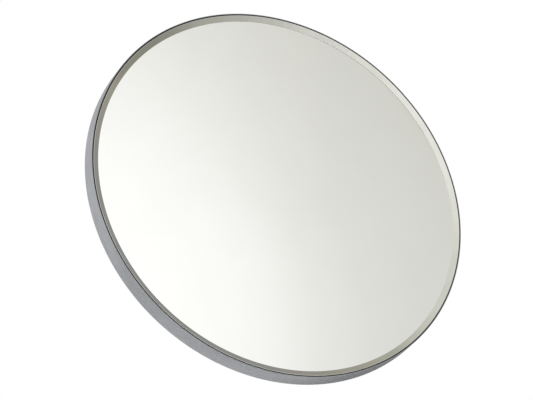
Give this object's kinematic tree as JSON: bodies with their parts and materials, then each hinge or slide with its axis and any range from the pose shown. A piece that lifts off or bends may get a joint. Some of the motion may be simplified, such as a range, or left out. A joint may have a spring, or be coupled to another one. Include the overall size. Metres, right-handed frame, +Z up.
{
  "type": "traffic convex mirror",
  "caption": "Round convex traffic mirror in a deep metal rim, on a back bracket that tilts and swivels, with a wall plate that also takes band straps.",
  "frame": {"origin": "centre of the wall plate's back face", "axes": "+Y out of the wall plate's back face, towards the wall or post; the mirror faces -Y; +Z up"},
  "size_m": [0.604, 0.2653, 0.604],
  "materials": {
    "satin_aluminium": "satin brushed, lightly grained round the rim",
    "polished_stainless": "polished stainless steel",
    "mirror_face": "mirror",
    "black_rubber": "matte",
    "grey_foam": "matte closed-cell foam",
    "grey_painted_steel": "satin paint",
    "galvanised_steel": "hot-dip galvanised, dull spangle",
    "zinc_plated_steel": "bright zinc plated",
    "cast_aluminium": "as cast, blasted",
    "black_nylon": "matte"
  },
  "bodies": {
    "wall_bracket": {"wall_plate": "galvanised_steel", "swivel_bracket": "galvanised_steel", "base_screw_1": "zinc_plated_steel", "base_screw_2": "zinc_plated_steel", "base_screw_3": "zinc_plated_steel", "base_screw_4": "zinc_plated_steel", "base_nut_1": "zinc_plated_steel", "base_nut_2": "zinc_plated_steel", "base_nut_3": "zinc_plated_steel", "base_nut_4": "zinc_plated_steel", "swivel_bolt": "zinc_plated_steel", "swivel_nut": "zinc_plated_steel", "swivel_lock_washer": "zinc_plated_steel", "swivel_washer_top": "zinc_plated_steel", "swivel_washer_bottom": "zinc_plated_steel", "swivel_friction_washer_top": "black_nylon", "swivel_friction_washer_bottom": "black_nylon"},
    "arm": {"swivel_arm": "cast_aluminium", "swivel_bush": "black_nylon", "tilt_bush": "black_nylon"},
    "mirror_head": {"rim_channel": "satin_aluminium", "bezel_ring": "polished_stainless", "mirror_dome": "mirror_face", "rim_gasket": "black_rubber", "edge_seal": "grey_foam", "back_pan": "grey_painted_steel", "stiffener_plate": "galvanised_steel", "head_bracket": "galvanised_steel", "rim_screw_1": "zinc_plated_steel", "rim_screw_2": "zinc_plated_steel", "rim_screw_3": "zinc_plated_steel", "rim_screw_4": "zinc_plated_steel", "rim_screw_5": "zinc_plated_steel", "rim_screw_6": "zinc_plated_steel", "rim_screw_7": "zinc_plated_steel", "rim_screw_8": "zinc_plated_steel", "head_bolt_1": "zinc_plated_steel", "head_bolt_2": "zinc_plated_steel", "head_bolt_3": "zinc_plated_steel", "head_bolt_4": "zinc_plated_steel", "head_washer_1": "zinc_plated_steel", "head_washer_2": "zinc_plated_steel", "head_washer_3": "zinc_plated_steel", "head_washer_4": "zinc_plated_steel", "head_nut_1": "zinc_plated_steel", "head_nut_2": "zinc_plated_steel", "head_nut_3": "zinc_plated_steel", "head_nut_4": "zinc_plated_steel", "tilt_bolt": "zinc_plated_steel", "tilt_nut": "zinc_plated_steel", "tilt_lock_washer": "zinc_plated_steel", "tilt_washer_right": "zinc_plated_steel", "tilt_washer_left": "zinc_plated_steel", "tilt_friction_washer_right": "black_nylon", "tilt_friction_washer_left": "black_nylon"}
  },
  "joints": [
    {"name": "swivel", "type": "hinge", "parent": "wall_bracket", "child": "arm", "pos_m": [0, -0.05, 0], "axis": [0, 0, 1], "range_deg": [-30, 30]},
    {"name": "tilt", "type": "hinge", "parent": "arm", "child": "mirror_head", "pos_m": [0, -0.17, 0], "axis": [1, 0, 0], "range_deg": [-15, 25]}
  ]
}
